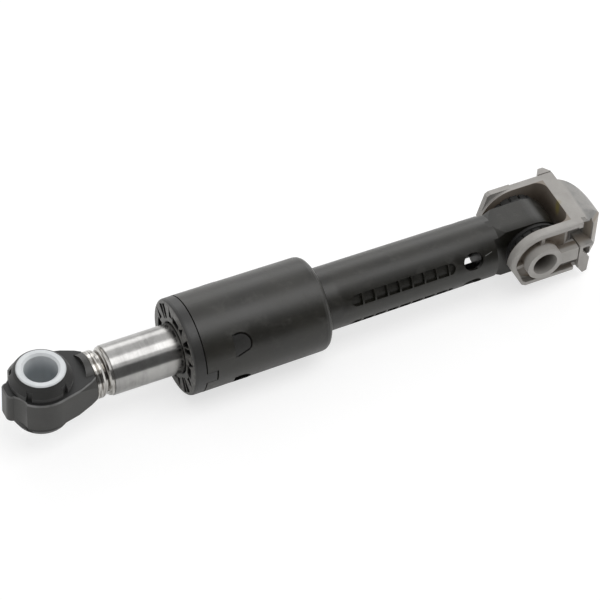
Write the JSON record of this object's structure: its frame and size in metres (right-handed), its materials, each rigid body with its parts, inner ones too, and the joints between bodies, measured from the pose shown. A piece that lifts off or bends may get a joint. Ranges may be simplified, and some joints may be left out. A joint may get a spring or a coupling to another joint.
{
  "type": "washing machine shock absorber",
  "caption": "Telescopic friction damper with a bushed rod eye, a steel rod, a fat friction housing, a barrel tube and a swinging fork bracket.",
  "frame": {"origin": "centre of the bore through the rod eye's white sleeve", "axes": "+X along the rod towards the fork bracket, +Z along the rod eye's bore, +Y across, along the bracket's cross bore"},
  "size_m": [0.2662, 0.0412, 0.0412],
  "materials": {
    "eye_plastic": "moulded black, faint sheen",
    "eye_rubber": "black rubber",
    "white_bush": "smooth white",
    "rod_steel": "bright drawn steel",
    "inner_plastic": "natural nylon",
    "friction_foam": "greased foam",
    "buffer_rubber": "soft rubber",
    "barrel_plastic": "glass filled black plastic, fine grain",
    "cap_plastic": "glass filled black plastic",
    "bush_rubber": "black rubber",
    "sleeve_plastic": "black nylon",
    "bracket_plastic": "warm grey glass filled plastic"
  },
  "bodies": {
    "rod": {"rod_eye": "eye_plastic", "rod_eye_rubber": "eye_rubber", "rod_eye_sleeve": "white_bush", "rod_tube": "rod_steel", "rod_end_guide": "inner_plastic"},
    "friction_unit": {"lining_carrier": "inner_plastic", "front_lining": "friction_foam", "rear_lining": "friction_foam"},
    "buffers": {"front_buffer": "buffer_rubber", "rear_buffer": "buffer_rubber"},
    "barrel": {"barrel": "barrel_plastic", "end_cap": "cap_plastic", "barrel_eye_rubber": "bush_rubber", "barrel_eye_sleeve": "sleeve_plastic"},
    "bracket": {"fork_bracket": "bracket_plastic"}
  },
  "joints": [
    {"name": "rod_stroke", "type": "slide", "parent": "rod", "child": "friction_unit", "axis": [1, 0, 0], "range_m": [-0.0275, 0.0315]},
    {"name": "free_travel", "type": "slide", "parent": "friction_unit", "child": "buffers", "axis": [1, 0, 0], "range_m": [-0.0035, 0.0035]},
    {"name": "barrel_spin", "type": "hinge", "parent": "buffers", "child": "barrel", "pos_m": [0.09, 0, 0], "axis": [1, 0, 0], "continuous": true},
    {"name": "bracket_swing", "type": "hinge", "parent": "barrel", "child": "bracket", "pos_m": [0.22, 0, 0], "axis": [0, 1, 0], "range_deg": [-75, 75]}
  ]
}
